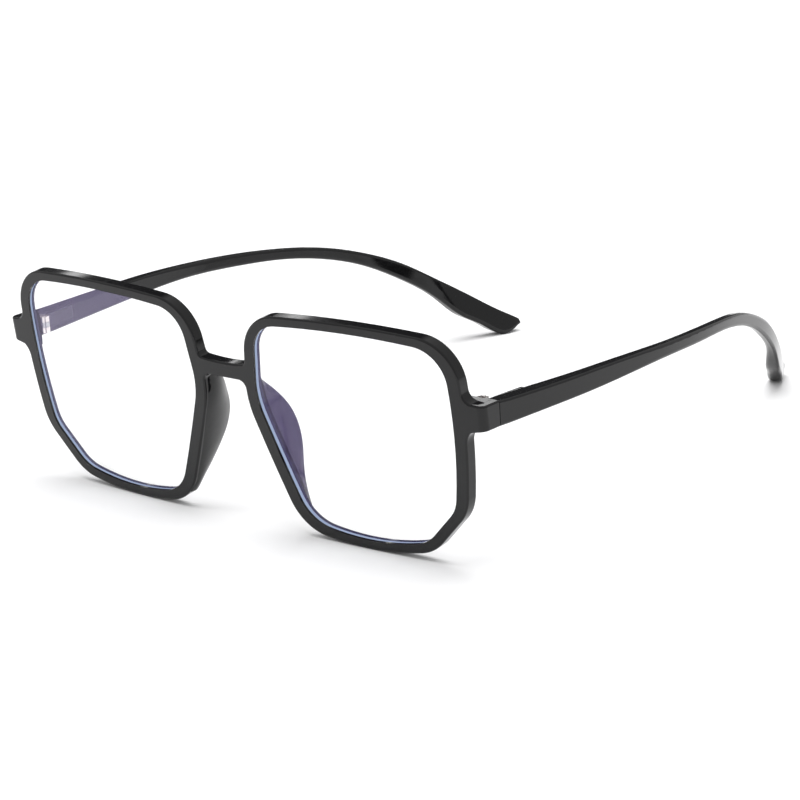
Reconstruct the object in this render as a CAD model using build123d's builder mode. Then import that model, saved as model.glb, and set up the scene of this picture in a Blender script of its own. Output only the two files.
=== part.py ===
"""Blue light glasses: moulded front, two coated lenses and two sprung temples.

Millimetres. +X is the wearer's left, -Y is the way the wearer looks, +Z is up. The glasses
stand on a table as they are put down open: on the lower rims and on both temple tips.
"""

import math
import os

from build123d import *

os.makedirs("parts", exist_ok=True)

# ---- driving dimensions -------------------------------------------------------------
lean = 6.7  # the front leans forward by this angle, degrees
front_radius = 880.0  # the front's gentle wrap, seen from above
rim_depth = 3.1  # front to back
front_half_width = 72.3  # to the outer side of an endpiece
cut_reach = 12.0  # a cut this deep goes right through the front
band_reach = 80.0  # half width, foot and height of a band that takes in the whole front
band_start = -5.0
band_height = 70.0

# Lens opening of the wearer's left rim, as sharp corners: u from the centre of the nose,
# v up from the table along the leaning front, the corner's radius, and how far the edge
# that leaves the corner bulges outwards.
opening_corners = [
    (11.4, 50.0, 8.0, 0.0),
    (9.0, 32.4, 18.0, 0.3),
    (19.8, 4.3, 10.0, 2.2),
    (53.1, 4.4, 9.0, 0.0),
    (61.8, 13.6, 8.0, 1.5),
    (63.2, 50.3, 8.5, 1.4),
]
# Width of the rim's face along the edge that leaves each of those corners.
rim_widths = [3.0, 3.2, 2.3, 2.5, 3.0, 2.1]

lens_thickness = 1.8
lens_inset = 0.65  # rim's front face to the lens
groove_depth = 0.7
groove_gap = 0.06
lens_bevel = 0.55

bridge_top = 39.5  # v at the middle of the nose
bridge_bottom = 35.8

endpiece_top = 39.2
endpiece_bottom = 33.5
endpiece_inner = 65.7
# Corners of the front's outline where the bridge and the endpieces leave the rims, and an
# endpiece's own two: u, v and the radius that softens each.
blends = [
    (7.4, 39.6, 1.2),
    (6.9, 35.8, 2.0),
    (66.6, 39.6, 2.6),
    (66.0, 32.6, 4.0),
    (70.9, 33.6, 0.6),
    (70.9, 39.2, 0.6),
]
front_round = 0.45
rear_round = 0.4
corner_round = 1.8  # an endpiece's upright corner
endpiece_setback = 1.4  # its flat front ends this far inside its outer side
seam_y = 4.1  # where an endpiece ends
seam_gap = 0.2
block_front = 8.0  # an endpiece's block starts this far ahead of the rims' feet

hinge_x = 66.8
hinge_y = 5.2
hinge_z = 36.8
knuckle_radius = 1.5
barrel_height = 4.0
eye_height = 1.2
knuckle_gap = 0.05
screw_radius = 0.7
screw_fit = 0.02
head_radius = 1.1
head_height = 0.5
driver_slot = 0.3
running_gap = 0.05
leaf_thickness = 1.1
leaf_front = 0.9
barb_radius = 0.45
barb_setback = 0.9
barrel_room = 68.6  # the room behind an endpiece for the barrel ends here
barrel_clearance = 0.3

# The spring hinge lies along the temple's root, which points outwards by root_turn.
root_turn = 5.0
housing_offset = 1.85  # from the hinge axis out to the housing's middle
housing_front = 7.6
housing_length = 9.2
housing_width = 2.4
housing_height = 3.2
fit_gap = 0.02
shank_width = 1.1
rod_radius = 0.35
bore_radius = 0.8
bore_front = 9.0
bore_end = 15.8
bush_length = 0.8
spring_length = 4.2
spring_turns = 7
spring_wire = 0.12
spring_radius = 0.58
rod_head_length = 0.8

root_round = 0.55  # a temple's edges near the hinge, and behind root_end
arm_round = 0.9
root_end = 60.0

# Temple stations: y, outer face x, top z, bottom z, thickness at the top, at the bottom.
temple_stations = [
    (seam_y + seam_gap, 72.3, 39.1, 33.4, 3.8, 3.8),
    (12.0, 73.0, 38.8, 33.4, 4.1, 4.1),
    (20.0, 73.7, 38.6, 33.5, 3.9, 3.9),
    (32.0, 74.5, 38.4, 33.6, 3.3, 3.3),
    (46.0, 75.0, 38.1, 33.9, 2.8, 2.8),
    (62.0, 74.8, 37.4, 33.9, 2.6, 2.6),
    (78.0, 73.0, 36.3, 33.1, 2.5, 2.5),
    (92.0, 70.0, 34.8, 31.9, 2.5, 2.5),
    (104.0, 66.6, 32.7, 29.5, 2.5, 2.5),
    (116.0, 62.9, 28.9, 25.2, 2.5, 2.6),
    (127.0, 59.2, 23.8, 19.0, 2.5, 2.8),
    (136.0, 55.4, 17.9, 12.0, 2.5, 3.3),
    (141.0, 52.9, 14.4, 6.6, 2.5, 4.6),
    (146.0, 50.2, 10.7, 3.2, 2.5, 5.0),
    (151.0, 47.3, 7.0, -0.1, 2.5, 4.8),
    (154.4, 45.4, 4.8, 0.5, 2.3, 4.0),
    (156.7, 44.2, 3.3, 1.7, 1.8, 2.8),
]

# Nose pad sections: v, root u, rear edge u, rear edge w (how far behind the front face).
pad_sections = [
    (36.8, 6.6, 7.0, 3.3),
    (35.4, 6.55, 6.9, 4.4),
    (33.0, 6.55, 7.2, 6.6),
    (29.5, 6.9, 8.6, 8.8),
    (25.5, 8.05, 9.7, 10.3),
    (21.5, 9.55, 10.5, 10.6),
    (17.5, 11.1, 11.5, 9.6),
    (13.5, 12.65, 12.8, 7.6),
    (9.5, 14.25, 14.6, 5.7),
    (6.2, 15.75, 16.6, 4.3),
    (4.0, 17.3, 18.6, 3.5),
]
pad_thickness = 1.7
pad_front = 0.55  # the pad flows out of the rim this far behind the front face
pad_swell = 0.35  # and stands this far proud of the rim's side

# ---- planes -------------------------------------------------------------------------
up = Vector(0, -math.sin(math.radians(lean)), math.cos(math.radians(lean)))
back = Vector(0, math.cos(math.radians(lean)), math.sin(math.radians(lean)))
front_plane = Plane(origin=(0, 0, 0), x_dir=(1, 0, 0), z_dir=back * -1)
level_plane = Plane(origin=(0, 0, 0), x_dir=(1, 0, 0), z_dir=up)


def level(v):
    """The plane across the front at height v, with its own x = u and y = w."""
    return level_plane.offset(v)


def wrap(u):
    """How far the front face falls back at u."""
    return front_radius - math.sqrt(front_radius**2 - u**2)


# ---- outlines -----------------------------------------------------------------------
def closed_outline(corners):
    """Edges of a closed outline whose edges may bulge, as sharp corners."""
    edges = []
    for here, there in zip(corners, corners[1:] + corners[:1]):
        start = Vector(here[0], here[1])
        end = Vector(there[0], there[1])
        middle = (start + end) * 0.5
        along = (end - start).normalized()
        bulge = Vector(along.Y, -along.X) * here[3]
        edges.append((start, middle + bulge, end, here[3]))
    return edges


def draw_outline(corners):
    """Draw the outline as lines and arcs in the open BuildLine."""
    for start, middle, end, bulge in closed_outline(corners):
        if bulge:
            ThreePointArc(start, middle, end)
        else:
            Line(start, end)


def widened(corners, widths):
    """The outline moved outwards, each edge by its own width."""
    lines = []
    for here, there, width in zip(corners, corners[1:] + corners[:1], widths):
        along = Vector(there[0] - here[0], there[1] - here[1]).normalized()
        out = Vector(along.Y, -along.X) * width
        lines.append((Vector(here[0], here[1]) + out, along))
    wider = []
    for index, corner in enumerate(corners):
        (p, d), (q, e) = lines[index - 1], lines[index]
        reach = ((q.X - p.X) * e.Y - (q.Y - p.Y) * e.X) / (d.X * e.Y - d.Y * e.X)
        wider.append((p.X + d.X * reach, p.Y + d.Y * reach, corner[2] + widths[index], corner[3]))
    return wider


def corner_face(corners):
    """The outline as a face, with its corners rounded."""
    with BuildSketch() as outline:
        with BuildLine():
            draw_outline(corners)
        make_face()
        for u, v, radius, _ in corners:
            nearest = outline.vertices().sort_by_distance((u, v))[0]
            fillet(nearest, radius)
    return outline.sketch


opening = corner_face(opening_corners)
rim_corners = widened(opening_corners, rim_widths)
rim_face = corner_face(rim_corners)
lens_face = corner_face(widened(opening_corners, [groove_depth] * 6))
groove_face = corner_face(widened(opening_corners, [groove_depth + groove_gap] * 6))


def band(front, rear, half_width):
    """Sketch of a wrapped band between two depths behind the front face."""
    with BuildSketch() as strip:
        with BuildLine():
            ends = []
            for depth in (front, rear):
                edge = wrap(half_width) + depth
                ThreePointArc((-half_width, edge), (0, depth), (half_width, edge))
                ends.append(edge)
            Line((-half_width, ends[0]), (-half_width, ends[1]))
            Line((half_width, ends[0]), (half_width, ends[1]))
        make_face()
    return strip.sketch


# ---- lenses -------------------------------------------------------------------------
def make_lens(outline, grow):
    """A wrapped lens with a bevelled edge; grow makes the groove that holds it."""
    with BuildPart() as lens:
        with BuildSketch(front_plane):
            add(outline)
        extrude(amount=cut_reach, both=True)
        with BuildSketch(level(band_start)):
            add(band(lens_inset - grow, lens_inset + lens_thickness + grow, band_reach))
        extrude(amount=band_height, mode=Mode.INTERSECT)
        rims = lens.faces().filter_by(GeomType.CYLINDER).sort_by(SortBy.AREA)[-2:]
        chamfer(rims[0].outer_wire().edges() + rims[1].outer_wire().edges(), lens_bevel)
    return lens.part


lens_left = make_lens(lens_face, 0.0)
groove_left = make_lens(groove_face, groove_gap)


# ---- hinge, front half --------------------------------------------------------------
barrel_low = hinge_z - barrel_height / 2
barrel_high = hinge_z + barrel_height / 2
eye_low = hinge_z - eye_height / 2
knuckle_height = (barrel_height - eye_height) / 2 - knuckle_gap
hinge_axis = Axis((hinge_x, hinge_y, 0), (0, 0, 1))

with BuildPart() as hinge_leaf:
    with BuildSketch(Plane.XY.offset(barrel_low)) as knuckles:
        with Locations((hinge_x, hinge_y)):
            Circle(knuckle_radius)
        with Locations((hinge_x, hinge_y - 1.0)):
            Rectangle(leaf_thickness, 2.0)
    extrude(amount=knuckle_height)
    extrude(knuckles.sketch.moved(Location((0, 0, barrel_height - knuckle_height))), knuckle_height)
    # The plate that is moulded into the endpiece, with barbs along its edges.
    plate_length = hinge_y - knuckle_radius - 0.1 - leaf_front
    with BuildSketch(Plane.YZ.offset(hinge_x - leaf_thickness / 2)):
        with Locations((leaf_front + plate_length / 2, hinge_z)):
            Rectangle(plate_length, barrel_height)
        with Locations((leaf_front + barb_setback, barrel_low), (leaf_front + barb_setback, barrel_high)):
            Circle(barb_radius, mode=Mode.SUBTRACT)
    extrude(amount=leaf_thickness)
    with Locations((hinge_x, hinge_y, hinge_z)):
        Cylinder(screw_radius + screw_fit, barrel_height + 1, mode=Mode.SUBTRACT)
    with Locations((hinge_x, hinge_y, barrel_high)):
        Cylinder(head_radius + screw_fit, 2 * head_height, mode=Mode.SUBTRACT)

with BuildPart() as hinge_screw:
    with BuildSketch(Plane.XY.offset(barrel_low + 0.1)):
        with Locations((hinge_x, hinge_y)):
            Circle(screw_radius)
    extrude(amount=barrel_height - 0.4)
    with BuildSketch(Plane.XY.offset(barrel_high - head_height + screw_fit)):
        with Locations((hinge_x, hinge_y)):
            Circle(head_radius)
    extrude(amount=head_height + 0.1)
    fillet(hinge_screw.edges().group_by(Axis.Z)[-1], 0.15)
    with Locations((hinge_x, hinge_y, barrel_high + 0.1)):
        Box(3, driver_slot, 0.5, mode=Mode.SUBTRACT)
    chamfer(hinge_screw.edges().group_by(Axis.Z)[0], 0.15)


# ---- hinge, temple half: drawn straight back, then turned with the temple's root ----
housing_x = hinge_x + housing_offset


def turned(shape):
    """Turn a piece of the spring hinge to lie along the temple's root."""
    return shape.rotate(hinge_axis, -root_turn)


def rod_plane(y):
    """The plane across the spring's rod, looking along +Y."""
    return Plane(origin=(housing_x, y, hinge_z), x_dir=(1, 0, 0), z_dir=(0, 1, 0))


spring_front = bore_front + bush_length + 0.05
spring_end = spring_front + spring_length

with BuildPart() as housing:
    with Locations((housing_x, housing_front + housing_length / 2, hinge_z)):
        Box(housing_width, housing_length, housing_height)
    fillet(housing.edges().filter_by(Axis.Z).group_by(Axis.X)[0], 0.5)
    with Locations((housing_x, housing_front + 1, hinge_z)):
        Box(shank_width + 0.08, 3, shank_width + 0.08, mode=Mode.SUBTRACT)
    with BuildSketch(rod_plane(bore_front)):
        Circle(bore_radius)
    extrude(amount=bore_end - bore_front, mode=Mode.SUBTRACT)

with BuildPart() as slider:
    with BuildSketch(Plane.XY.offset(eye_low)):
        with Locations((hinge_x, hinge_y)):
            Circle(knuckle_radius)
        with Locations(((hinge_x + housing_x + shank_width / 2) / 2, hinge_y + 1.15)):
            Rectangle(housing_offset + shank_width / 2, 1.0)
    extrude(amount=eye_height)
    with Locations((housing_x, (hinge_y + 0.65 + bore_front) / 2, hinge_z)):
        Box(shank_width, bore_front - hinge_y - 0.65, shank_width)
    with BuildSketch(rod_plane(bore_front - 0.5)):
        Circle(rod_radius)
    extrude(amount=spring_end + rod_head_length + 0.55 - bore_front)
    with Locations((hinge_x, hinge_y, hinge_z)):
        Cylinder(screw_radius + running_gap, 4, mode=Mode.SUBTRACT)

with BuildPart() as stop_bush:
    with BuildSketch(rod_plane(bore_front)):
        Circle(bore_radius - fit_gap)
        Circle(rod_radius + running_gap, mode=Mode.SUBTRACT)
    extrude(amount=bush_length)

with BuildPart() as rod_head:
    with BuildSketch(rod_plane(spring_end + 0.05)):
        Circle(bore_radius - 0.1)
        Circle(rod_radius + fit_gap, mode=Mode.SUBTRACT)
    extrude(amount=rod_head_length)

with BuildPart() as spring:
    with BuildLine() as coil:
        Helix(
            (spring_length - 2 * spring_wire) / spring_turns,
            spring_length - 2 * spring_wire,
            spring_radius,
            center=(housing_x, spring_front + spring_wire, hinge_z),
            direction=(0, 1, 0),
        )
    with BuildSketch(Plane(origin=coil.line @ 0, z_dir=coil.line % 0)):
        Circle(spring_wire)
    sweep()


# ---- temple -------------------------------------------------------------------------
with BuildPart() as temple:
    for y, outer, top, bottom, thick_top, thick_bottom in temple_stations:
        with BuildSketch(Plane.XZ.offset(-y)) as section:
            with BuildLine():
                Polyline(
                    (outer, top),
                    (outer, bottom + 0.25 * (thick_bottom - thick_top)),
                    (outer - thick_bottom, bottom),
                    (outer - thick_top, top),
                    close=True,
                )
            make_face()
            rounding = root_round if y < root_end else arm_round
            fillet(section.vertices(), min(rounding, (top - bottom) / 4))
    loft()
    # The slot for the spring hinge, open to the inside and to the front.
    slot = turned(
        Box(
            housing_width + 3 + fit_gap,
            housing_front + housing_length + fit_gap - seam_y,
            housing_height + 2 * fit_gap,
            mode=Mode.PRIVATE,
        ).moved(
            Location(
                (
                    housing_x - 1.5 + fit_gap / 2,
                    (housing_front + housing_length + fit_gap + seam_y) / 2,
                    hinge_z,
                )
            )
        )
    )
    add(slot, mode=Mode.SUBTRACT)


# ---- front --------------------------------------------------------------------------
with BuildPart() as endpiece:
    # The corner block, drawn from the front and as tall as the temple's root.
    with BuildSketch(Plane.XZ.offset(block_front)):
        with BuildLine():
            Polyline(
                (60, endpiece_bottom - 1.7),
                (66.2, endpiece_bottom - 1.1),
                (front_half_width, endpiece_bottom),
                (front_half_width, endpiece_top),
                (66.2, endpiece_top + 0.3),
                (60, endpiece_top + 0.6),
                close=True,
            )
        make_face()
    extrude(amount=-block_front - seam_y)
    # It shows the same wrapped face as the rims.
    with BuildSketch(level(band_start)):
        add(band(0, cut_reach, band_reach))
    extrude(amount=band_height, mode=Mode.INTERSECT)
    # Room behind it for the barrel of the hinge, and nothing behind the lens.
    with BuildSketch(Plane.XY.offset(20)):
        with Locations((55, 0)):
            Rectangle(2 * (endpiece_inner - 55), 30)
        with Locations((endpiece_inner + 1, hinge_y - knuckle_radius - barrel_clearance + 4)):
            Rectangle(2 * (barrel_room - endpiece_inner - 1), 8)
    extrude(amount=30, mode=Mode.SUBTRACT)
    corner = endpiece.edges().filter_by(Axis.Z, tolerance=12).sort_by_distance(
        (front_half_width, wrap(front_half_width) - 4.2, hinge_z)
    )[0]
    fillet(corner, corner_round)
    outer_side = endpiece.faces().sort_by(Axis.X)[-1]
    fillet(outer_side.edges().filter_by(Axis.Y), front_round)

with BuildPart() as rims:
    with BuildSketch(front_plane) as face:
        add(rim_face)
        with BuildLine():
            Polyline(
                (62, endpiece_bottom - 2.0),
                (front_half_width - endpiece_setback, endpiece_bottom + 0.15),
                (front_half_width - endpiece_setback, endpiece_top - 0.15),
                (62, endpiece_top + 0.8),
                close=True,
            )
        make_face()
        mirror(about=Plane.YZ)
        with BuildLine():
            ThreePointArc((-7.5, bridge_top + 0.5), (0, bridge_top), (7.5, bridge_top + 0.5))
            Polyline(
                (7.5, bridge_top + 0.5),
                (7.5, bridge_bottom),
                (-7.5, bridge_bottom),
                (-7.5, bridge_top + 0.5),
            )
        make_face()
        for u, v, radius in blends:
            for corner in ((u, v), (-u, v)):
                fillet(face.vertices().sort_by_distance(corner)[0], radius)
    extrude(amount=cut_reach, both=True)
    with BuildSketch(level(band_start)):
        add(band(0, rim_depth, band_reach))
    extrude(amount=band_height, mode=Mode.INTERSECT)
    for place, rounding in ((0, front_round), (-1, rear_round)):
        faces = rims.faces().filter_by(GeomType.CYLINDER).sort_by(SortBy.AREA)[-2:]
        fillet(faces.sort_by(Axis.Y)[place].outer_wire().edges(), rounding)

with BuildPart() as pad:
    for v, root, rear, depth in pad_sections:
        with BuildSketch(level(v)) as section:
            with BuildLine():
                Polyline(
                    (root, pad_front),
                    (root + 3.2, pad_front),
                    (root + 3.3, rim_depth),
                    (rear + pad_thickness, depth),
                    (rear, depth),
                )
                Spline((rear, depth), (root - pad_swell, rim_depth * 0.7), (root, pad_front))
            make_face()
            tips = section.vertices().sort_by(Axis.Y)[-2:]
            fillet(tips, 0.6 if depth > 4.5 else 0.35)
    loft()

with BuildPart() as front_frame:
    add(rims.part)
    for side in (endpiece.part, pad.part):
        add(side)
        add(mirror(side, about=Plane.YZ, mode=Mode.PRIVATE))
    for cut in (groove_left, hinge_leaf.part):
        add(cut, mode=Mode.SUBTRACT)
        add(mirror(cut, about=Plane.YZ, mode=Mode.PRIVATE), mode=Mode.SUBTRACT)
    with BuildSketch(front_plane):
        add(opening)
        mirror(about=Plane.YZ)
    extrude(amount=cut_reach, both=True, mode=Mode.SUBTRACT)


# ---- placing and export -------------------------------------------------------------
left_pieces = {
    "lens": lens_left,
    "temple": temple.part,
    "hinge_leaf": hinge_leaf.part,
    "hinge_screw": hinge_screw.part,
    "spring_housing": turned(housing.part),
    "slider": turned(slider.part),
    "spring": turned(spring.part),
    "stop_bush": turned(stop_bush.part),
    "rod_head": turned(rod_head.part),
}
nodes = {"front_frame": front_frame.part}
for name, piece in left_pieces.items():
    nodes[name + "_left"] = piece
    nodes[name + "_right"] = mirror(piece, about=Plane.YZ)

boxes = [piece.bounding_box() for piece in nodes.values()]
front_end = min(box.min.Y for box in boxes)
rear_end = max(box.max.Y for box in boxes)
table = min(box.min.Z for box in boxes)
to_origin = Location((0, -(front_end + rear_end) / 2, -table))
for name, piece in nodes.items():
    placed = piece.moved(to_origin)
    placed.label = name
    export_step(placed, f"parts/{name}.step")
print("moved by", to_origin.position)
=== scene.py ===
"""Looks for the blue light glasses: finishes, a pale table, soft studio light and the camera.

Metres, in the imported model's frame: +X is the wearer's left, -Y the way the wearer looks.
"""

import math

import bpy
from mathutils import Matrix, Vector


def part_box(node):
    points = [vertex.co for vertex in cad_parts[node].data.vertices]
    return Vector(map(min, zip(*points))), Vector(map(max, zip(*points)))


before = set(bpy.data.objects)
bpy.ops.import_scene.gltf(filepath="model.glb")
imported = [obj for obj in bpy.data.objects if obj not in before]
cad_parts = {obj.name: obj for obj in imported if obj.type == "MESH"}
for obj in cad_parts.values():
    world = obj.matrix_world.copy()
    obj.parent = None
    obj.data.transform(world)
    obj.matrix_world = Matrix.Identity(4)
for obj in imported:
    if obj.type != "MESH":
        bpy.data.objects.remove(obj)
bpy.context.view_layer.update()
bpy.ops.object.select_all(action="DESELECT")

SIDES = ("left", "right")
FRONT_LEAN = math.radians(6.7)  # the front leans forward by this

# Where each kind of mark begins and is complete, in a noise that runs from 0 to 1.
PATCH_SPAN = (0.35, 0.75)
WIPE_SPAN = (0.58, 0.72)
CLOUD_SPAN = (0.3, 0.7)
PATCH_SHARE = 0.65  # of the wear; wiping marks make the rest
WIPE_SHARE = 0.35
WIPE_TURN = (0.2, 0.5, 0.7)
WIPE_SCALES = (900.0, 60.0, 2400.0)
RIPPLE_SCALE = 220.0
RIPPLE_DEPTH = 0.0001
FACE_TILT = 0.93  # cosine of the tilt up to which a lens surface counts as its face


# ---- shader helpers -----------------------------------------------------------------
def new_group(name, inputs, outputs):
    """An empty shader node group with named number inputs and outputs."""
    group = bpy.data.node_groups.new(name, "ShaderNodeTree")
    for label, default in inputs:
        socket = group.interface.new_socket(label, in_out="INPUT", socket_type="NodeSocketFloat")
        socket.default_value = default
    for label in outputs:
        group.interface.new_socket(label, in_out="OUTPUT", socket_type="NodeSocketFloat")
    return group, group.nodes.new("NodeGroupInput").outputs, group.nodes.new("NodeGroupOutput").inputs


def add_node(tree, kind, **settings):
    """A node with its settings and its plain socket values."""
    node = tree.nodes.new(kind)
    for key, value in settings.items():
        if hasattr(node, key):
            setattr(node, key, value)
        else:
            node.inputs[key.title()].default_value = value
    return node


def map_range(tree, value, span, to_span):
    """A value moved from one span to another; each end is a number or a socket."""
    node = tree.nodes.new("ShaderNodeMapRange")
    labels = ("Value", "From Min", "From Max", "To Min", "To Max")
    for label, end in zip(labels, (value, *span, *to_span)):
        if isinstance(end, (int, float)):
            node.inputs[label].default_value = end
        else:
            tree.links.new(end, node.inputs[label])
    return node.outputs["Result"]


def mix_colours(tree, mask, first, second):
    """The first colour where the mask is 0 and the second where it is 1."""
    mix = add_node(tree, "ShaderNodeMix", data_type="RGBA")
    first_input, second_input, colour_output = 6, 7, 2
    mix.inputs[first_input].default_value = (*first, 1.0)
    mix.inputs[second_input].default_value = (*second, 1.0)
    tree.links.new(mask, mix.inputs["Factor"])
    return mix.outputs[colour_output]


def make_gloss_wear():
    """Roughness that changes slowly over a polished surface, with fine wiping marks and dust."""
    group, given, result = new_group(
        "gloss_wear", [("Smooth", 0.08), ("Worn", 0.2), ("Patch Size", 60.0)], ["Roughness", "Height"]
    )
    place = add_node(group, "ShaderNodeTexCoord").outputs["Object"]
    patches = add_node(group, "ShaderNodeTexNoise", detail=4.0)
    group.links.new(place, patches.inputs["Vector"])
    group.links.new(given["Patch Size"], patches.inputs["Scale"])
    # Wiping marks: noise drawn out along the surface.
    stretch = add_node(group, "ShaderNodeMapping", rotation=WIPE_TURN, scale=WIPE_SCALES)
    group.links.new(place, stretch.inputs["Vector"])
    wipes = add_node(group, "ShaderNodeTexNoise", scale=1.0, detail=2.0)
    group.links.new(stretch.outputs["Vector"], wipes.inputs["Vector"])
    wear = add_node(group, "ShaderNodeMath", operation="ADD", use_clamp=True)
    marks = ((patches, PATCH_SPAN, PATCH_SHARE), (wipes, WIPE_SPAN, WIPE_SHARE))
    for term, (noise, span, share) in zip(wear.inputs, marks):
        group.links.new(map_range(group, noise.outputs["Fac"], span, (0.0, share)), term)
    ends = (given["Smooth"], given["Worn"])
    group.links.new(map_range(group, wear.outputs["Value"], (0.0, 1.0), ends), result["Roughness"])
    # The faint unevenness of a moulded and tumbled surface.
    ripple = add_node(group, "ShaderNodeTexNoise", scale=RIPPLE_SCALE, detail=1.0)
    group.links.new(place, ripple.inputs["Vector"])
    group.links.new(ripple.outputs["Fac"], result["Height"])
    return group


def make_tone():
    """A soft cloud between two shades, for a colour that is not dead flat."""
    group, given, result = new_group("tone", [("Size", 40.0)], ["Mask"])
    place = add_node(group, "ShaderNodeTexCoord")
    cloud = add_node(group, "ShaderNodeTexNoise", detail=3.0)
    group.links.new(place.outputs["Object"], cloud.inputs["Vector"])
    group.links.new(given["Size"], cloud.inputs["Scale"])
    group.links.new(map_range(group, cloud.outputs["Fac"], CLOUD_SPAN, (0.0, 1.0)), result["Mask"])
    return group


def make_painted_light_edge_mask():
    """Mask for a painted glow: white where a surface turns away from the front's depth, as a lens's ground
    edge does.
    """
    group, given, result = new_group("painted_light_edge_mask", [("Sharpness", 0.05)], ["Mask"])
    place = add_node(group, "ShaderNodeTexCoord")
    along = add_node(group, "ShaderNodeVectorMath", operation="DOT_PRODUCT")
    along.inputs[1].default_value = (0.0, math.cos(FRONT_LEAN), math.sin(FRONT_LEAN))
    group.links.new(place.outputs["Normal"], along.inputs[0])
    facing = add_node(group, "ShaderNodeMath", operation="ABSOLUTE")
    group.links.new(along.outputs["Value"], facing.inputs[0])
    start = add_node(group, "ShaderNodeMath", operation="SUBTRACT")
    start.inputs[0].default_value = FACE_TILT
    group.links.new(given["Sharpness"], start.inputs[1])
    span = (start.outputs["Value"], FACE_TILT)
    group.links.new(map_range(group, facing.outputs["Value"], span, (1.0, 0.0)), result["Mask"])
    return group


gloss_wear = make_gloss_wear()
tone = make_tone()
painted_light_edge_mask = make_painted_light_edge_mask()


def finish_of(name, dark, light, smooth, worn, bump=0.0, tone_size=40.0, **plain):
    """A material whose colour and roughness change gently over the surface."""
    material = bpy.data.materials.new(name)
    material.use_nodes = True
    tree = material.node_tree
    shader = tree.nodes["Principled BSDF"]
    for label, value in plain.items():
        shader.inputs[label].default_value = value
    wear = add_node(tree, "ShaderNodeGroup", node_tree=gloss_wear)
    wear.inputs["Smooth"].default_value = smooth
    wear.inputs["Worn"].default_value = worn
    tree.links.new(wear.outputs["Roughness"], shader.inputs["Roughness"])
    shade = add_node(tree, "ShaderNodeGroup", node_tree=tone)
    shade.inputs["Size"].default_value = tone_size
    colour = mix_colours(tree, shade.outputs["Mask"], dark, light)
    tree.links.new(colour, shader.inputs["Base Color"])
    if bump:
        relief = add_node(tree, "ShaderNodeBump", strength=bump, distance=RIPPLE_DEPTH)
        tree.links.new(wear.outputs["Height"], relief.inputs["Height"])
        tree.links.new(relief.outputs["Normal"], shader.inputs["Normal"])
    return material


# ---- finishes -----------------------------------------------------------------------
polished_black = finish_of(
    "polished_black_plastic", (0.003, 0.003, 0.0033), (0.0045, 0.0045, 0.005), 0.06, 0.15, bump=0.05, IOR=1.4
)
satin_black = finish_of(
    "satin_black_paint", (0.012, 0.012, 0.013), (0.02, 0.02, 0.022), 0.3, 0.45, bump=0.1
)
plated_steel = finish_of(
    "plated_steel", (0.72, 0.66, 0.64), (0.86, 0.80, 0.78), 0.14, 0.3,
    bump=0.05, tone_size=300.0, Metallic=1.0,
)
spring_wire = finish_of(
    "spring_wire", (0.42, 0.42, 0.44), (0.6, 0.6, 0.62), 0.2, 0.35, tone_size=500.0, Metallic=1.0
)


def make_coated_lens():
    """Clear plastic whose coating sends back blue and violet light, with a painted glow on its ground edge.
    """
    material = finish_of("coated_lens", (0.97, 0.975, 0.99), (0.985, 0.985, 1.0), 0.0, 0.012)
    tree = material.node_tree
    shader = tree.nodes["Principled BSDF"]
    shader.inputs["Transmission Weight"].default_value = 1.0
    shader.inputs["IOR"].default_value = 1.6
    shader.inputs["Specular IOR Level"].default_value = 1.0
    shader.inputs["Specular Tint"].default_value = (0.5, 0.36, 1.0, 1.0)
    # Painted light: the ground bevel in the rim's groove gets a pale blue emission, a painted glow that
    # stands in for the light the lens carries to it.
    edge = add_node(tree, "ShaderNodeGroup", node_tree=painted_light_edge_mask)
    painted_edge_light = mix_colours(tree, edge.outputs["Mask"], (0.0, 0.0, 0.0), (0.34, 0.41, 0.6))
    tree.links.new(painted_edge_light, shader.inputs["Emission Color"])
    shader.inputs["Emission Strength"].default_value = 1.0
    return material


FINISHES = {
    "front_frame": polished_black,
    "temple": polished_black,
    "lens": make_coated_lens(),
    "hinge_leaf": plated_steel,
    "hinge_screw": plated_steel,
    "slider": spring_wire,
    "stop_bush": plated_steel,
    "rod_head": plated_steel,
    "spring_housing": satin_black,
    "spring": spring_wire,
}


def dress(node, material):
    """Give every slot of a CAD node's object the finish."""
    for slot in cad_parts[node].material_slots:
        slot.material = material


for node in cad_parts:
    kind = node
    for side in SIDES:
        kind = kind.removesuffix("_" + side)
    dress(node, FINISHES[kind])


# ---- table --------------------------------------------------------------------------
def make_table(size, colour, roughness):
    """A wide matt table top under the glasses, as part of the stage."""
    bpy.ops.mesh.primitive_plane_add(size=size, location=(0, 0, 0))
    table = bpy.context.object
    table.name = "table"
    material = bpy.data.materials.new("pale_table")
    material.use_nodes = True
    shader = material.node_tree.nodes["Principled BSDF"]
    shader.inputs["Base Color"].default_value = (*colour, 1.0)
    shader.inputs["Roughness"].default_value = roughness
    shader.inputs["Specular IOR Level"].default_value = 0.0
    table.data.materials.append(material)


make_table(size=8.0, colour=(0.93, 0.93, 0.935), roughness=0.9)


# ---- light --------------------------------------------------------------------------
def soft_box(name, place, aim, width, height, power):
    """A rectangular area light at a place, facing another."""
    light = bpy.data.lights.new(name, "AREA")
    light.shape = "RECTANGLE"
    light.size = width
    light.size_y = height
    light.energy = power
    holder = bpy.data.objects.new(name, light)
    bpy.context.collection.objects.link(holder)
    holder.location = place
    holder.rotation_euler = (Vector(aim) - Vector(place)).to_track_quat("-Z", "Y").to_euler()
    return holder


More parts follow.
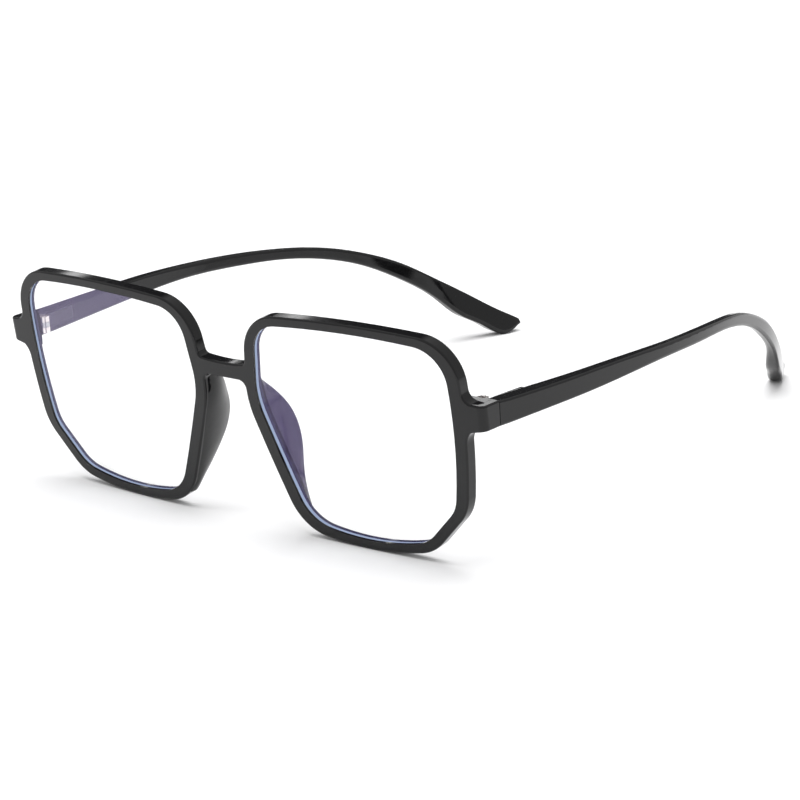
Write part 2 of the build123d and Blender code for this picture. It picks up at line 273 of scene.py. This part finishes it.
def make_world(strength, bright, dark, toward, card_span):
    """Light from all round, but for a soft dark card toward one direction."""
    world = bpy.data.worlds.new("studio")
    bpy.context.scene.world = world
    world.use_nodes = True
    tree = world.node_tree
    background = tree.nodes["Background"]
    background.inputs["Strength"].default_value = strength
    sky = add_node(tree, "ShaderNodeTexCoord")
    facing = add_node(tree, "ShaderNodeVectorMath", operation="DOT_PRODUCT")
    facing.inputs[1].default_value = Vector(toward).normalized()
    tree.links.new(sky.outputs["Generated"], facing.inputs[0])
    card = map_range(tree, facing.outputs["Value"], card_span, (0.0, 1.0))
    tree.links.new(mix_colours(tree, card, bright, dark), background.inputs["Color"])


make_world(
    strength=0.7,
    bright=(1.0, 1.0, 1.0),
    dark=(0.08, 0.08, 0.085),
    toward=(-0.62, 0.72, 0.32),
    card_span=(0.86, 0.95),
)
overhead = soft_box("overhead", place=(-0.1, 0.0, 1.6), aim=(0, 0, 0), width=1.6, height=1.4, power=25.0)
overhead.visible_glossy = False
soft_box("rear_strip", place=(-0.95, 1.05, 0.62), aim=(0, 0, 0.02), width=0.9, height=0.05, power=0.4)


# ---- camera -------------------------------------------------------------------------
def make_camera(place, azimuth, elevation, roll, lens):
    """A camera at a place, looking back along its azimuth and elevation, in degrees."""
    camera = bpy.data.cameras.new("camera")
    camera.lens = lens
    camera.sensor_width = 36.0
    camera.clip_start = 0.01
    holder = bpy.data.objects.new("camera", camera)
    bpy.context.collection.objects.link(holder)
    turn = Matrix.Rotation(math.radians(azimuth), 4, "Z")
    tilt = Matrix.Rotation(math.radians(90 - elevation), 4, "X")
    twist = Matrix.Rotation(math.radians(roll), 4, "Z")
    holder.matrix_world = Matrix.Translation(place) @ turn @ tilt @ twist
    bpy.context.scene.camera = holder


front_face_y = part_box("front_frame")[0].y
camera_place = (0.45127, front_face_y - 0.4606, 0.22759)
make_camera(camera_place, azimuth=40.82, elevation=17.2, roll=-3.26, lens=135.0)
bpy.context.scene.view_settings.view_transform = "Standard"

# ---- update the scene ---------------------------------------------------------------
bpy.context.view_layer.update()
